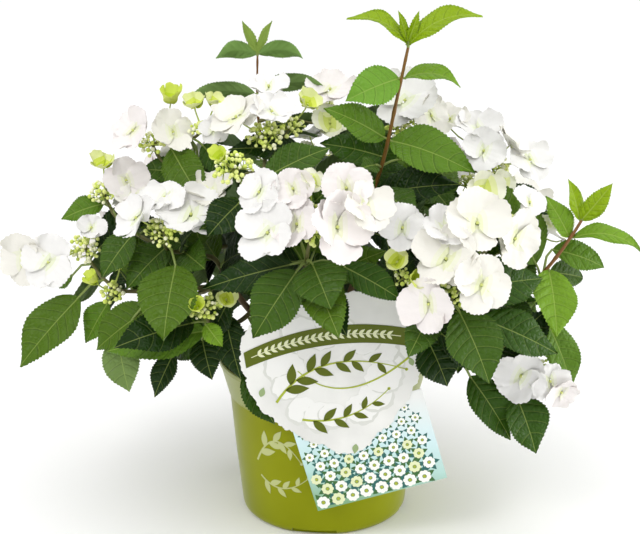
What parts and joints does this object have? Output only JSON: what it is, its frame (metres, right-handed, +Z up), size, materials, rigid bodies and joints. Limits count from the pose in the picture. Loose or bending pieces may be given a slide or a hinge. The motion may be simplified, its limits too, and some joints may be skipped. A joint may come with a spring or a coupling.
{
  "type": "potted hydrangea shrub",
  "caption": "Flowering hydrangea shrub with lacecap blossom on pruned canes, in a tapered plastic pot filled with compost, with a blank hang tag on the rim.",
  "frame": {"origin": "centre of the pot's flat underside, on the surface it stands on", "axes": "+Z up, -Y the front with the tag, +X to the right as seen from the front"},
  "size_m": [0.5597, 0.4072, 0.4641],
  "materials": {
    "pot": "satin olive-lime plastic",
    "compost": "rough dark compost",
    "bark": "brown bark",
    "foliage": "green leaves with white blossom",
    "tag": "pearly coated card",
    "picture": "coated card with a plain sprig pattern"
  },
  "bodies": {
    "root": {"back_centre_spray": "foliage", "back_left_cane": "bark", "back_left_spray": "foliage", "back_low_left_spray": "foliage", "back_low_right_spray": "foliage", "back_right_cane": "bark", "back_right_spray": "foliage", "back_shoot": "foliage", "back_skirt_spray": "foliage", "centre_cane": "bark", "centre_spray": "foliage", "compost": "compost", "front_cane": "bark", "left_back_cane": "bark", "left_cane": "bark", "left_front_cane": "bark", "left_front_spray": "foliage", "left_low_spray": "foliage", "left_mid_spray": "foliage", "left_side_spray": "foliage", "left_skirt_spray": "foliage", "left_top_spray": "foliage", "middle_spray": "foliage", "pot": "pot", "right_back_cane": "bark", "right_cane": "bark", "right_front_cane": "bark", "right_front_spray": "foliage", "right_low_spray": "foliage", "right_shoot": "foliage", "right_side_spray": "foliage", "right_skirt_spray": "foliage", "stump": "bark", "tag_front": "tag", "tag_picture": "picture", "tall_shoot": "foliage", "top_left_spray": "foliage", "top_right_spray": "foliage"}
  },
  "joints": []
}
